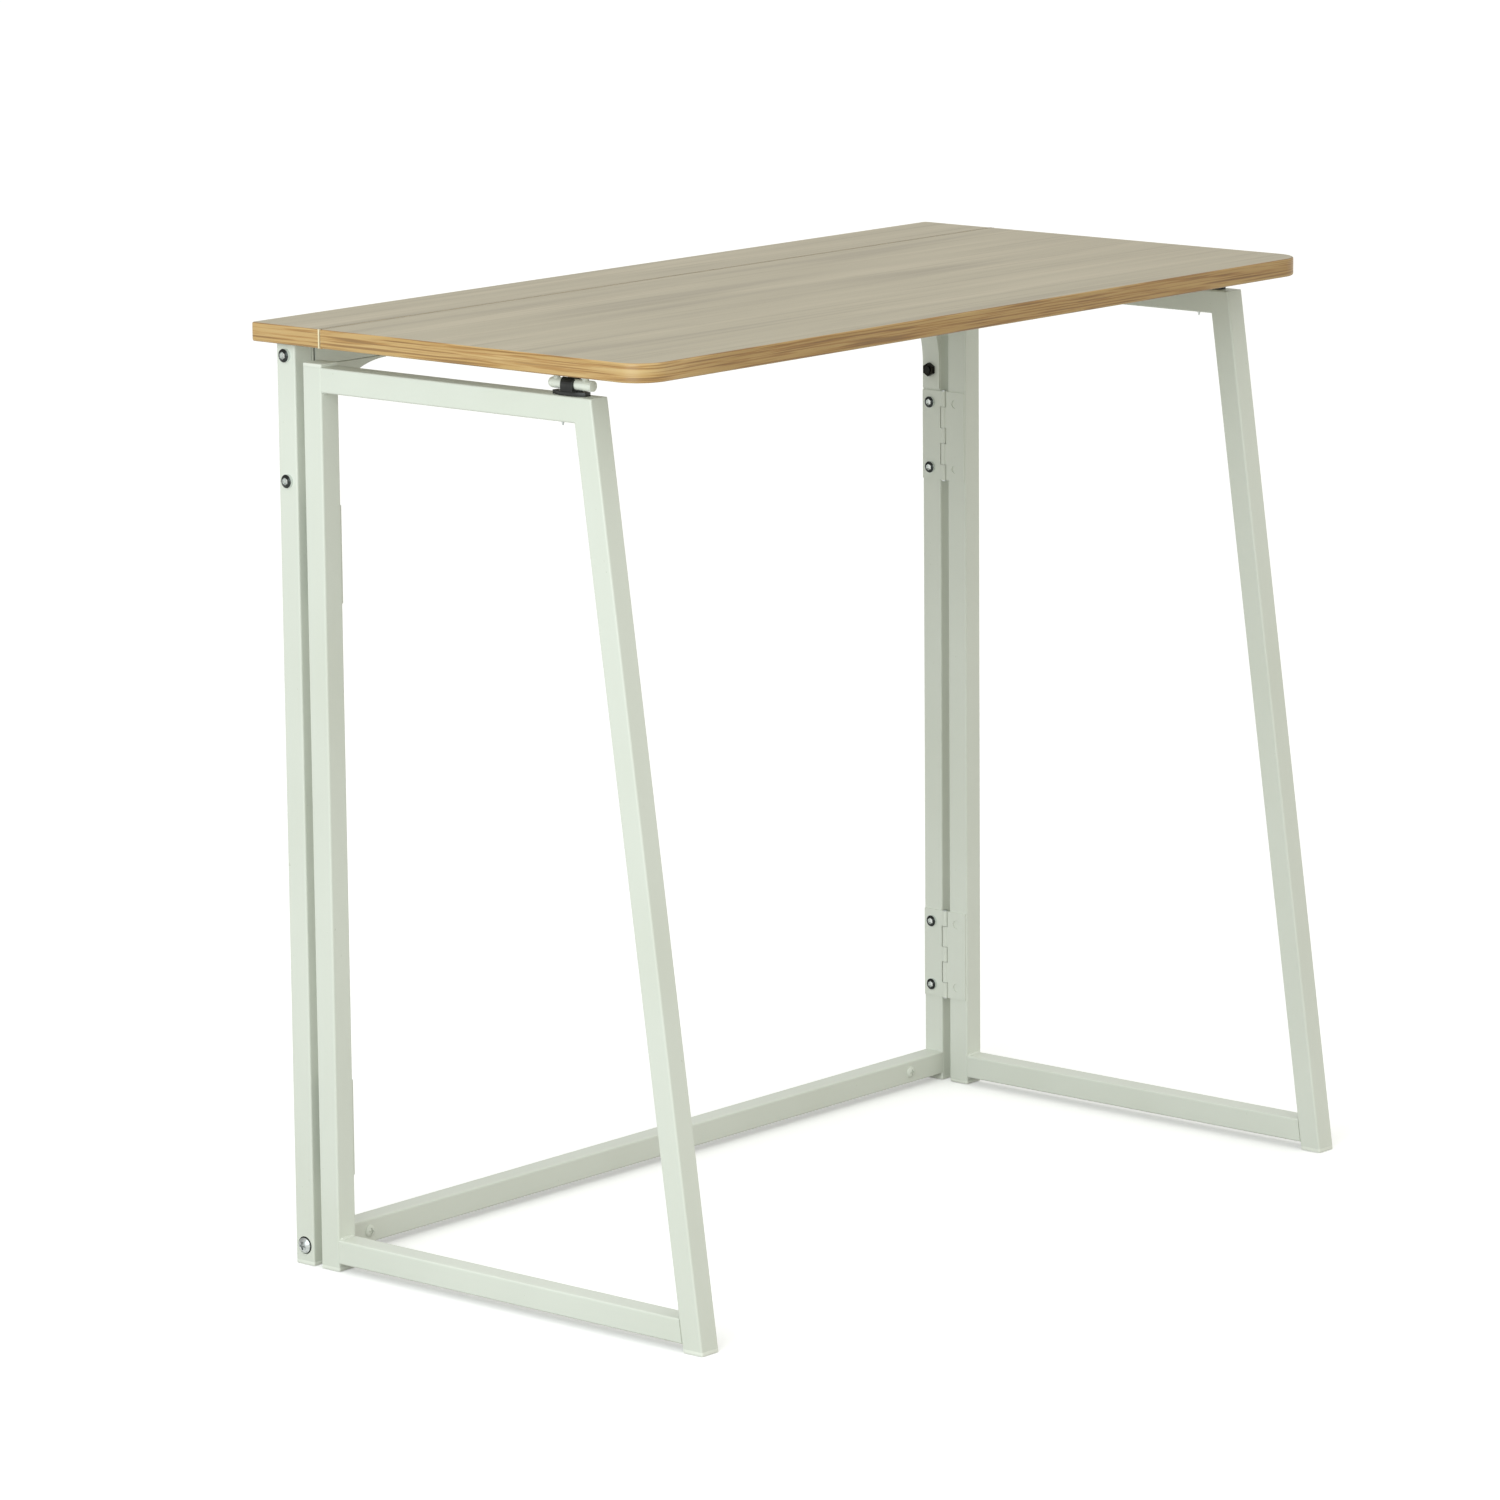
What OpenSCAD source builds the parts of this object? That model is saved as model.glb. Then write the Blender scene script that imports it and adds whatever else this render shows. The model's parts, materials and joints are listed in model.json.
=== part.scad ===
// Folding gateleg table: a fixed back frame with a narrow strip on top, a drop leaf hinged to
// the strip, and two gates that swing out of the back frame to carry the leaf.
// Millimetres, +Z up, +Y to the back. The origin is on the floor, under the middle of the
// whole table's box. Left and right are seen from the front, and the left is the mirror of
// the right.

/* [Top] */
// Length of the top from end to end
top_w = 800; // [640:10:1100]
// Depth of the top, strip and leaf together
top_d = 395; // [320:5:520]
// Thickness of the board
top_t = 14.5; // [12:0.5:25]
// Height of the top's upper face above the floor
table_h = 730; // [560:5:900]
// Depth of the fixed strip at the back
strip_d = 72; // [62:1:100]
// Open joint between strip and leaf
seam_gap = 1.2; // [1:0.1:3]
// Radius of the leaf's two front corners
front_corner_r = 25; // [8:1:60]
// Radius of the strip's two back corners
back_corner_r = 3.5; // [3:0.5:20]
// Thickness of the oak edge band
band_t = 2; // [1:0.5:3]
// Rounding of the edge band's outer arrises
arris_r = 1.5; // [0.5:0.25:2]
// Thickness of the pale tape on the two seam edges
seam_tape_t = 1.2; // [0.8:0.1:2]

/* [Frame] */
// Outside width of the square tube
tube = 19; // [16:1:30]
// Wall of the square tube
wall = 1.2; // [1:0.1:2]
// Outside corner radius of the square tube
tube_r = 1.5; // [0.5:0.25:2.5]
// How far the top stands out past the frame at each end
end_overhang = 8; // [0:1:30]
// Back face of the posts, measured from the back edge of the top
post_setback = 19; // [5:1:30]
// Underside of the lower back rail above the floor
lower_rail_z = 5.5; // [4:0.5:120]
// Reach of each corner bracket along the upper rail and down the post
bracket_reach = 80; // [40:1:140]
// Sheet thickness of the corner brackets
bracket_t = 1.5; // [1:0.5:3]
// Tail of the bracket below its curve, which takes the bolt
bracket_tail = 22; // [20:0.5:34]
// Open slot between the upper rail's end and the bracket's flange on the post
rail_slot = 2; // [1:0.5:4]
// Thickness of the plastic foot under each tube
foot_t = 3; // [2:0.5:4]
// Depth of the plugs inside the tubes
plug_h = 14; // [8:1:25]

/* [Gates] */
// Open gap between post and gate stile, which the hinge barrels fill
gate_gap = 8; // [7:0.5:14]
// Space between the underside of the leaf and the top of the gates
gate_drop = 16; // [14:0.5:30]
// How far the leg's front edge stands behind the front of the leaf, at the gate's top
leg_setback = 58; // [20:1:120]
// How far the leg's foot stands in front of the leaf
foot_forward = 40; // [0:1:100]
// Underside of the gate's bottom rail above the floor
gate_rail_z = 6; // [4:0.5:120]

/* [Hinges] */
// Height of a gate hinge
gate_hinge_h = 75; // [50:1:110]
// Middle of the lower gate hinges above the floor
gate_hinge_low = 110.5; // [70:0.5:200]
// Gap between a corner bracket's tail and the upper gate hinge
hinge_tail_gap = 1.5; // [1:0.5:60]
// Length of a leaf hinge
leaf_hinge_w = 60; // [40:1:90]
// Distance of the outer leaf hinges from the middle one
leaf_hinge_pitch = 250; // [80:5:300]
// Sheet thickness of all hinges
hinge_t = 1.2; // [1:0.1:2]
// Outside diameter of all hinge barrels
barrel_d = 5; // [4:0.5:6.5]
// Diameter of the hinge pins
pin_d = 2.5; // [2:0.5:3]
// Width of a hinge leaf, from its barrel's axis
hinge_leaf_w = 22; // [18:1:24]

/* [Latch] */
// Middle of the latch clip behind the inner corner of top rail and leg
clip_set = 10.5; // [10.5:0.5:60]
// Length of the clip's base along the rail
clip_base_l = 32; // [26:1:40]
// Width of the clip's spring jaw along the rail
clip_jaw_w = 11.6; // [8:0.2:14]
// Wall of the spring jaw
clip_wall = 2; // [1.5:0.25:2.5]
// Diameter of the striker bar that the jaw grips
striker_d = 8; // [6:0.5:8.5]
// Length of the striker bar
striker_l = 43; // [36:1:60]
// Middle of the striker bar above the gate's top rail
striker_rise = 8; // [7.5:0.25:9]

/* [Fasteners] */
// Thread diameter of the frame bolts
bolt_d = 6; // [5:0.5:8]
// Head diameter of the upper frame bolts
bolt_head_d = 10.4; // [9:0.2:13]
// Head diameter of the lower frame bolts
low_bolt_head_d = 12; // [10:0.5:14]
// Shank diameter of the gate hinge screws
hinge_screw_d = 4; // [3:0.5:5]
// Head diameter of the gate hinge screws
hinge_screw_head_d = 9.6; // [7:0.2:11]
// Shank diameter of the long screws that hold the strip
strip_screw_d = 4; // [3:0.5:5]
// Shank diameter of the small countersunk screws
small_screw_d = 3; // [2.5:0.1:3.2]

/* [Hidden] */

// Facets of the round surfaces
$fn = 48;

// Clearances: a bolt or screw in its hole, a pin in its barrel, between two knuckles, and
// between a leaf's plate and the other leaf's knuckles
hole_play = 0.2;
pin_play = 0.05;
knuckle_play = 0.4;
plate_play = 0.8;

// Colours
steel_white = [0.86, 0.88, 0.84];
laminate = [0.69, 0.65, 0.58];
oak = [0.74, 0.58, 0.38];
tape_cream = [0.90, 0.84, 0.70];
dark_nickel = [0.20, 0.21, 0.20];
zinc = [0.66, 0.67, 0.66];
nylon_black = [0.07, 0.07, 0.07];
plastic_white = [0.90, 0.91, 0.89];

// Places are measured from the back edge of the top, so a depth is a negative y
under = table_h - top_t;
frame_x = top_w / 2 - end_overhang;
inner_x = frame_x - tube;
tube_x = frame_x - tube / 2;
post_front = -(post_setback + tube);
post_y = post_front + tube / 2;
hinge_y = post_front - gate_gap / 2;
stile_y = post_front - gate_gap - tube / 2;
stile_front = stile_y - tube / 2;
gate_top = under - gate_drop;
top_rail_z = gate_top - tube / 2;
upper_rail_z = under - tube / 2;
low_bolt_z = lower_rail_z + tube / 2;
curve_end_z = under - tube - bracket_reach;
bracket_bolt_z = curve_end_z - bolt_d;
tail_end_z = curve_end_z - bracket_tail;
gate_hinge_high = tail_end_z - hinge_tail_gap - gate_hinge_h / 2;
rail_half = inner_x - bracket_t - rail_slot;
slot_tab_h = tube * 0.2;
bore = tube - 2 * wall;
stile_cap_t = 2.6;

// The leg leans forward to its foot
leg_top_y = leg_setback - top_d;
foot_y = -(top_d + foot_forward);
lean = atan((leg_top_y - foot_y) / gate_top);
leg_w = tube / cos(lean);
function leg_front(z) = foot_y + z * tan(lean);
mitre_y = leg_front(gate_top - tube) + leg_w;
mitre = atan((mitre_y - leg_top_y) / tube);

// The seam and the leaf's hinge line
leaf_back = -(strip_d + seam_gap);
seam_y = -(strip_d + seam_gap / 2);
leaf_axis_z = under - barrel_d / 2;
leaf_hinge_x = [-leaf_hinge_pitch, 0, leaf_hinge_pitch];
leaf_screw_pitch = leaf_hinge_w / 3;
leaf_screw_y = hinge_leaf_w - 8;

// Latch
clip_y = mitre_y + clip_set;
clip_base_w = 13;
clip_tip_w = 6;
clip_base_t = 3;
clip_screw_tip = 3.6;
clip_screw_pitch = clip_jaw_w / 2 + small_screw_d * 0.9 + 0.3;
striker_z = gate_top + striker_rise;
neck_d = small_screw_d + 2;
neck_pitch = striker_l / 2 - 7.5;
striker_counterbore = 0.4;
striker_screw_grip = 9;

// Gate hinges: the screws' and the plug welds' distance from the barrel and from the middle
hinge_screw_y = hinge_y + hinge_leaf_w - 8.4;
hinge_weld_y = hinge_y - hinge_leaf_w + 9.4;
hinge_screw_pitch = gate_hinge_h / 2 - 10;
weld_d = 7;
weld_depth = 0.8;
pin_button_h = 0.8;

// Fasteners
bolt_l = tube + 15;
plug_l = bolt_l - tube + 5;
bolt_head_h = 4;
nut_across = bolt_d * 5 / 3;
nut_h = 3.4;
bracket_bolt_l = tube + bracket_t + nut_h + 1;
sleeve_set = 0.5;
hinge_screw_head_h = 3.2;
hinge_screw_l = 9;
rail_screw_head_h = 2.6;
rail_screw_x = inner_x - 43;
strip_screw_head_d = 9;
strip_screw_head_h = 2.4;
strip_screw_grip = 10;
strip_screw_x = [-1, -0.36, 0.36, 1] * leaf_hinge_pitch;
small_screw_l = 9;
small_screw_tip = 2.4;
small_screw_hole = small_screw_d + hole_play / 2;
countersink = 0.4;
post_plug_h = low_bolt_z - low_bolt_head_d / 2 - 1 - foot_t;

// Moves a piece drawn from the back edge of the top into the table's own frame
module in_place() {
  translate([0, (top_d + foot_forward) / 2, 0]) children();
}

// Draws a piece of the right side on the left
module on_left() {
  mirror([1, 0, 0]) children();
}

// Draws a piece on both sides
module on_both() {
  children();
  on_left() children();
}

// ---- Square tube --------------------------------------------------------------------------

// A square with rounded corners, centred
module rounded_square(w, r) {
  square([w - 2 * r, w], center = true);
  square([w, w - 2 * r], center = true);
  for (i = [-1, 1], j = [-1, 1]) {
    translate([i * (w / 2 - r), j * (w / 2 - r)]) circle(r = r);
  }
}

// A length of tube along +Z
module tube_bar(length) {
  linear_extrude(length) difference() {
    rounded_square(tube, tube_r);
    square(bore, center = true);
  }
}

// A hole of diameter d through the right post or a gate tube, from x0 to x1
module cross_hole(d, x0, x1, y, z) {
  translate([x0, y, z]) rotate([0, 90, 0]) cylinder(d = d, h = x1 - x0);
}

// Everything below height z
module below(z) {
  translate([-top_w, -2 * table_h, z - table_h]) cube([2 * top_w, 4 * table_h, table_h]);
}

// Everything in front of the mitre between a gate's top rail and its leg
module front_of_mitre() {
  translate([0, leg_top_y, gate_top]) rotate([mitre, 0, 0])
    translate([-top_w, -table_h, -2 * table_h]) cube([2 * top_w, table_h, 4 * table_h]);
}

// The line of the leg: whatever is drawn upright at the origin leans along it
module along_leg() {
  translate([tube_x, foot_y + leg_w / 2, 0]) rotate([-lean, 0, 0]) children();
}

// ---- Screws -------------------------------------------------------------------------------

// A cross recess that is cut down from the top of a head
module cross_recess(d, h) {
  for (a = [0, 90]) {
    rotate([0, 0, a]) translate([-d * 0.27, -d * 0.065, h * 0.45])
      cube([d * 0.54, d * 0.13, h]);
  }
}

// A hexagon socket that is cut down from the top of a head
module hex_socket(d, h) {
  translate([0, 0, h * 0.45]) cylinder(d = d * 0.56, h = h, $fn = 6);
}

// A screw whose head has a straight rim and a domed crown above z = 0, and whose shank goes
// down. The crown starts a hair inside the rim. The recess is the module's child
module domed_screw(head_d, head_h, rim_h, shank_d, length) {
  crown_h = head_h - rim_h;
  crown_d = head_d - 0.1;
  crown_r = (crown_d * crown_d / 4 + crown_h * crown_h) / (2 * crown_h);
  difference() {
    rotate_extrude() {
      translate([0, -length]) square([shank_d / 2, length]);
      square([head_d / 2, rim_h]);
      intersection() {
        translate([0, rim_h]) square(head_d);
        translate([0, head_h - crown_r]) circle(r = crown_r, $fn = 128);
      }
    }
    children();
  }
}

// A pan-head screw with a cross recess, and a button-head screw with a hexagon socket
module pan_screw(head_d, head_h, shank_d, length) {
  domed_screw(head_d, head_h, head_h * 0.3, shank_d, length) cross_recess(head_d, head_h);
}

module button_screw(head_d, head_h, shank_d, length) {
  domed_screw(head_d, head_h, head_h * 0.6, shank_d, length) hex_socket(head_d, head_h);
}

// A countersunk screw: its head is flush with z = 0 and its shank goes down
module flush_screw(shank_d, length, tip) {
  head_h = shank_d * countersink;
  difference() {
    translate([0, 0, -head_h]) cylinder(d1 = shank_d, d2 = shank_d * 1.8, h = head_h);
    translate([0, 0, -head_h * 1.15]) cross_recess(shank_d * 1.6, head_h);
  }
  translate([0, 0, -length]) cylinder(d = shank_d, h = length - head_h);
  translate([0, 0, -length - tip]) cylinder(d1 = 0.8, d2 = shank_d, h = tip);
}

// The hole that a countersunk screw sits in
module flush_hole(shank_d, length) {
  head_h = shank_d * countersink;
  play = hole_play / 2;
  translate([0, 0, -head_h])
    cylinder(d1 = shank_d + play, d2 = shank_d * 1.8 + play, h = head_h + 0.01);
  translate([0, 0, -length]) cylinder(d = shank_d + play, h = length);
}

// ---- The top ------------------------------------------------------------------------------

// Section of the edge band: its inner face on x = 0 and its two outer arrises rounded
module band_section() {
  intersection() {
    square([band_t, top_t]);
    union() {
      translate([0, arris_r]) square([band_t, top_t - 2 * arris_r]);
      square([band_t - arris_r, top_t]);
      for (z = [arris_r, top_t - arris_r]) translate([band_t - arris_r, z]) circle(r = arris_r);
    }
  }
}

// Edge band round three sides of a board w by d, whose open side is on y = 0 and whose far
// side is on y = -d
module edge_band(w, d, corner_r) {
  inner_r = corner_r - band_t;
  run = d - corner_r;
  on_both() {
    translate([w / 2 - band_t, 0, 0]) rotate([90, 0, 0]) linear_extrude(run) band_section();
    translate([w / 2 - corner_r, -run, 0]) rotate([0, 0, -90]) rotate_extrude(angle = 90)
      translate([inner_r, 0]) band_section();
  }
  translate([-(w / 2 - corner_r), -d + band_t, 0]) rotate([90, 0, 90])
    mirror([1, 0, 0]) linear_extrude(w - 2 * corner_r) band_section();
}

// Outline of the board inside that band
module board_outline(w, d, corner_r) {
  r = corner_r - band_t;
  half = w / 2 - band_t;
  far = d - band_t;
  translate([-half, -far + r]) square([2 * half, far - r]);
  translate([-half + r, -far]) square([2 * half - 2 * r, far]);
  for (s = [-1, 1]) translate([s * (half - r), -far + r]) circle(r = r);
}

// Turns a part drawn with its open side on y = 0 into the strip, whose far side is the back
module as_strip() {
  translate([0, -strip_d + seam_tape_t, under]) mirror([0, 1, 0]) children();
}

module as_leaf() {
  translate([0, leaf_back - seam_tape_t, under]) children();
}

module strip_board() {
  color(laminate) in_place() difference() {
    as_strip() linear_extrude(top_t)
      board_outline(top_w, strip_d - seam_tape_t, back_corner_r);
    for (x = strip_screw_x) {
      translate([x, post_y, under - 1])
        cylinder(d = strip_screw_d + hole_play / 2, h = strip_screw_grip + 2);
    }
    for (x = leaf_hinge_x) leaf_hinge_holes(x, 1);
  }
}

module strip_edge_band() {
  color(oak) in_place() as_strip() edge_band(top_w, strip_d - seam_tape_t, back_corner_r);
}

module strip_seam_tape() {
  color(tape_cream) in_place()
    translate([-top_w / 2, -strip_d, under]) cube([top_w, seam_tape_t, top_t]);
}

// Long screws up through the upper rail into the strip
module strip_screws() {
  color(zinc) in_place() for (x = strip_screw_x) {
    translate([x, post_y, under - tube]) rotate([180, 0, 0])
      pan_screw(strip_screw_head_d, strip_screw_head_h, strip_screw_d, tube + strip_screw_grip);
  }
}

module leaf_board() {
  depth = top_d - strip_d - seam_gap - seam_tape_t;
  color(laminate) in_place() difference() {
    as_leaf() linear_extrude(top_t) board_outline(top_w, depth, front_corner_r);
    for (x = leaf_hinge_x) leaf_hinge_holes(x, -1);
    on_both() for (s = [-1, 1]) {
      translate([tube_x, clip_y + s * neck_pitch, under - 1])
        cylinder(d = small_screw_hole, h = striker_screw_grip + 2);
    }
  }
}

module leaf_edge_band() {
  depth = top_d - strip_d - seam_gap - seam_tape_t;
  color(oak) in_place() as_leaf() edge_band(top_w, depth, front_corner_r);
}

module leaf_seam_tape() {
  color(tape_cream) in_place()
    translate([-top_w / 2, leaf_back - seam_tape_t, under]) cube([top_w, seam_tape_t, top_t]);
}

// ---- Back frame ---------------------------------------------------------------------------

// Right post, with the holes of its bolts and hinge screws
module post() {
  difference() {
    translate([tube_x, post_y, foot_t]) tube_bar(under - foot_t);
    for (z = [upper_rail_z, bracket_bolt_z]) {
      cross_hole(bolt_d + 2 * hole_play, inner_x - 1, frame_x + 1, post_y, z);
    }
    cross_hole(bolt_d + 2 * hole_play, inner_x - 1, tube_x, post_y, low_bolt_z);
    cross_hole(low_bolt_head_d + 2, tube_x, frame_x + 1, post_y, low_bolt_z);
    for (z = [gate_hinge_low, gate_hinge_high], s = [-1, 1]) {
      cross_hole(hinge_screw_d + hole_play, inner_x - 1, tube_x, hinge_screw_y,
                 z + s * hinge_screw_pitch);
    }
  }
}

module left_post() { color(steel_white) in_place() on_left() post(); }
module right_post() { color(steel_white) in_place() post(); }

// Plastic foot under an upright or leaning tube whose middle line stands on the origin, with
// a plug of height h inside the tube
module foot(a, h) {
  intersection() {
    rotate([-a, 0, 0]) translate([0, 0, -tube]) linear_extrude(3 * tube)
      rounded_square(tube, tube_r);
    translate([-tube, -tube, 0]) cube([2 * tube, 2 * tube, foot_t]);
  }
  intersection() {
    rotate([-a, 0, 0]) translate([0, 0, -tube]) linear_extrude(3 * tube + h)
      square(bore, center = true);
    translate([-tube, -tube, foot_t]) cube([2 * tube, 2 * tube, h]);
  }
}

// The plug stops short of the lower bolt
module post_foot() { translate([tube_x, post_y, 0]) foot(0, post_plug_h); }
module left_post_foot() { color(plastic_white) in_place() on_left() post_foot(); }
module right_post_foot() { color(plastic_white) in_place() post_foot(); }

// A rail across the back that reaches half to each side, with its middle at height z
module back_rail(half, z) {
  translate([-half, post_y, z]) rotate([0, 90, 0]) tube_bar(2 * half);
}

module upper_back_rail() {
  color(steel_white) in_place() difference() {
    back_rail(rail_half, upper_rail_z);
    for (x = strip_screw_x) {
      translate([x, post_y, under - tube - 1])
        cylinder(d = strip_screw_d + hole_play, h = tube + 2);
    }
  }
}

module lower_back_rail() {
  color(steel_white) in_place() difference() {
    back_rail(inner_x, low_bolt_z);
    for (s = [-1, 1]) {
      translate([s * rail_screw_x, post_front - 1, low_bolt_z]) rotate([-90, 0, 0])
        cylinder(d = hinge_screw_d + hole_play, h = tube / 2);
    }
  }
}

// Threaded nylon plugs inside the rail's two ends, which stand out to x = end
module rail_plugs(end, z) {
  on_both() difference() {
    translate([inner_x - plug_l, post_y - bore / 2, z - bore / 2])
      cube([end - inner_x + plug_l, bore, bore]);
    cross_hole(bolt_d + hole_play, inner_x - plug_l - 1, inner_x + 1, post_y, z);
  }
}

module upper_rail_plugs() {
  color(nylon_black) in_place() rail_plugs(inner_x - bracket_t, upper_rail_z);
}

module lower_rail_plugs() { color(nylon_black) in_place() rail_plugs(inner_x, low_bolt_z); }

// Pressed sheet bracket in the corner under the upper rail, open at the back. Its web is at
// the front and closes the lower part of the slot at the rail's end. Its flanges run along
// the rail, round the curve, and down the post from the top to the tail
module corner_bracket() {
  reach = bracket_reach;
  t = bracket_t;
  corner_z = under - tube;
  depth = tube - t;
  difference() {
    translate([inner_x - reach, post_front, curve_end_z]) cube([reach, depth, reach]);
    translate([inner_x - reach, post_front - 1, curve_end_z]) rotate([-90, 0, 0])
      cylinder(r = reach - t, h = tube + 2, $fn = 128);
    difference() {
      translate([inner_x - reach, post_front + t, curve_end_z])
        cube([reach - t, tube, reach - t]);
      translate([inner_x - reach, post_front, curve_end_z]) rotate([-90, 0, 0])
        cylinder(r = reach, h = 2 * tube, $fn = 128);
    }
  }
  difference() {
    union() {
      translate([inner_x - t, post_front, tail_end_z]) cube([t, depth, bracket_tail]);
      translate([inner_x - t, post_front, corner_z]) cube([t, depth, tube]);
      translate([rail_half, post_front, corner_z]) cube([rail_slot, wall, slot_tab_h]);
    }
    for (z = [upper_rail_z, bracket_bolt_z]) {
      cross_hole(bolt_d + 2 * hole_play, inner_x - 5, inner_x + 5, post_y, z);
    }
  }
}

module left_corner_bracket() { color(steel_white) in_place() on_left() corner_bracket(); }
module right_corner_bracket() { color(steel_white) in_place() corner_bracket(); }

// Bolts from the posts' outer faces into the rail plugs and the brackets' tails
module upper_frame_bolts() {
  color(dark_nickel) in_place() on_both() for (z = [upper_rail_z, bracket_bolt_z]) {
    translate([frame_x, post_y, z]) rotate([0, 90, 0])
      button_screw(bolt_head_d, bolt_head_h, bolt_d,
                   z == upper_rail_z ? bolt_l : bracket_bolt_l);
  }
}

// Hexagon nuts on the brackets' tails
module bracket_nuts() {
  color(dark_nickel) in_place() on_both() difference() {
    translate([inner_x - bracket_t - nut_h, post_y, bracket_bolt_z]) rotate([0, 90, 0])
      cylinder(d = nut_across / cos(30), h = nut_h, $fn = 6);
    cross_hole(bolt_d + hole_play, inner_x - 2 * nut_h - bracket_t, inner_x, post_y,
               bracket_bolt_z);
  }
}

// Bolts at the foot of the posts: each head stands on a sleeve inside a wider hole
module lower_frame_bolts() {
  color(zinc) in_place() on_both()
    translate([frame_x - sleeve_set, post_y, low_bolt_z]) rotate([0, 90, 0])
      pan_screw(low_bolt_head_d, bolt_head_h, bolt_d, bolt_l - sleeve_set);
}

module lower_bolt_sleeves() {
  color(zinc) in_place() on_both() difference() {
    cross_hole(low_bolt_head_d - 1, inner_x + wall, frame_x - sleeve_set, post_y, low_bolt_z);
    cross_hole(bolt_d + hole_play, inner_x, frame_x, post_y, low_bolt_z);
  }
}

module lower_rail_screws() {
  color(plastic_white) in_place() for (s = [-1, 1]) {
    translate([s * rail_screw_x, post_front, low_bolt_z]) rotate([90, 0, 0])
      pan_screw(hinge_screw_head_d, rail_screw_head_h, hinge_screw_d, hinge_screw_l);
  }
}

// ---- Gate hinges --------------------------------------------------------------------------

// Lower end and length of knuckle i of five along a hinge of height h centred on 0. The
// second and fourth are longer than the other three
short_share = 0.175;
long_share = (1 - 3 * short_share) / 2;
function knuckle_start(h, i) =
  h * (ceil(i / 2) * short_share + floor(i / 2) * long_share - 0.5)
  + (i == 0 ? 0 : knuckle_play / 2);
function knuckle_length(h, i) =
  h * (i % 2 == 0 ? short_share : long_share) - (i == 0 || i == 4 ? 0.5 : 1) * knuckle_play;

// One leaf of a five-knuckle hinge. Its barrel lies on the Z axis, its plate reaches out along
// +Y, and the plate's outer face is at x = face
module hinge_leaf(h, knuckles, face) {
  clear = barrel_d / 2 + plate_play;
  difference() {
    union() {
      translate([face, clear, -h / 2]) cube([hinge_t, hinge_leaf_w - clear, h]);
      for (i = knuckles) translate([0, 0, knuckle_start(h, i)]) {
        cylinder(d = barrel_d, h = knuckle_length(h, i));
        translate([face, 0, 0]) cube([hinge_t, clear + 1, knuckle_length(h, i)]);
      }
    }
    translate([0, 0, -h]) cylinder(d = pin_d + 2 * pin_play, h = 2 * h);
  }
}

// A pin with a peened button at each end
module hinge_pin(h) {
  end = h / 2 + pin_button_h;
  translate([0, 0, -end]) cylinder(d = pin_d, h = 2 * end);
  translate([0, 0, -end]) cylinder(d = barrel_d - 1, h = pin_button_h);
  translate([0, 0, h / 2]) cylinder(d = barrel_d - 1, h = pin_button_h);
}

// Both hinges of the right gate
module at_gate_hinges() {
  for (z = [gate_hinge_low, gate_hinge_high]) translate([inner_x, hinge_y, z]) children();
}

module post_leaves() {
  difference() {
    at_gate_hinges() hinge_leaf(gate_hinge_h, [0, 2, 4], -hinge_t);
    for (z = [gate_hinge_low, gate_hinge_high], s = [-1, 1]) {
      cross_hole(hinge_screw_d + hole_play, inner_x - 5, inner_x + 5, hinge_screw_y,
                 z + s * hinge_screw_pitch);
    }
  }
}

// The gate's leaves are plug-welded, which leaves two shallow dimples in each
module gate_leaves() {
  difference() {
    at_gate_hinges() mirror([0, 1, 0]) hinge_leaf(gate_hinge_h, [1, 3], -hinge_t);
    for (z = [gate_hinge_low, gate_hinge_high], s = [-1, 1]) {
      cross_hole(weld_d, inner_x - 2 * hinge_t, inner_x - hinge_t + weld_depth, hinge_weld_y,
                 z + s * hinge_screw_pitch);
    }
  }
}

module gate_hinge_screws() {
  for (z = [gate_hinge_low, gate_hinge_high], s = [-1, 1]) {
    translate([inner_x - hinge_t, hinge_screw_y, z + s * hinge_screw_pitch])
      rotate([0, -90, 0])
        button_screw(hinge_screw_head_d, hinge_screw_head_h, hinge_screw_d, hinge_screw_l);
  }
}

module left_gate_hinge_post_leaves() { color(steel_white) in_place() on_left() post_leaves(); }
module right_gate_hinge_post_leaves() { color(steel_white) in_place() post_leaves(); }
module left_gate_hinge_gate_leaves() { color(steel_white) in_place() on_left() gate_leaves(); }
module right_gate_hinge_gate_leaves() { color(steel_white) in_place() gate_leaves(); }

module gate_hinge_pins() { at_gate_hinges() hinge_pin(gate_hinge_h); }
module left_gate_hinge_pins() { color(zinc) in_place() on_left() gate_hinge_pins(); }
module right_gate_hinge_pins() { color(zinc) in_place() gate_hinge_pins(); }

module left_gate_hinge_screws() { color(dark_nickel) in_place() on_left() gate_hinge_screws(); }
module right_gate_hinge_screws() { color(dark_nickel) in_place() gate_hinge_screws(); }

// ---- Gates --------------------------------------------------------------------------------

module gate_stile() {
  translate([tube_x, stile_y, foot_t]) tube_bar(gate_top - foot_t);
}

// The cap stands on the end of the tube, proud of the top rail
module stile_cap() {
  translate([tube_x, stile_y, gate_top]) {
    linear_extrude(stile_cap_t) rounded_square(tube, tube_r);
    translate([0, 0, -plug_h]) linear_extrude(plug_h) square(bore, center = true);
  }
}

// Places a screw head down at each hole of the clip
module at_clip_screws(z) {
  for (s = [-1, 1]) translate([tube_x, clip_y + s * clip_screw_pitch, z]) children();
}

module gate_top_rail() {
  difference() {
    translate([tube_x, stile_front, top_rail_z]) rotate([90, 0, 0])
      tube_bar(stile_front - leg_top_y + tube);
    front_of_mitre();
    at_clip_screws(gate_top - tube - 1)
      cylinder(d = small_screw_d + hole_play, h = tube + 2);
  }
}

module gate_leg() {
  difference() {
    intersection() {
      along_leg() translate([0, 0, -tube]) tube_bar(table_h + 2 * tube);
      front_of_mitre();
    }
    below(foot_t);
  }
}

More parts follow.
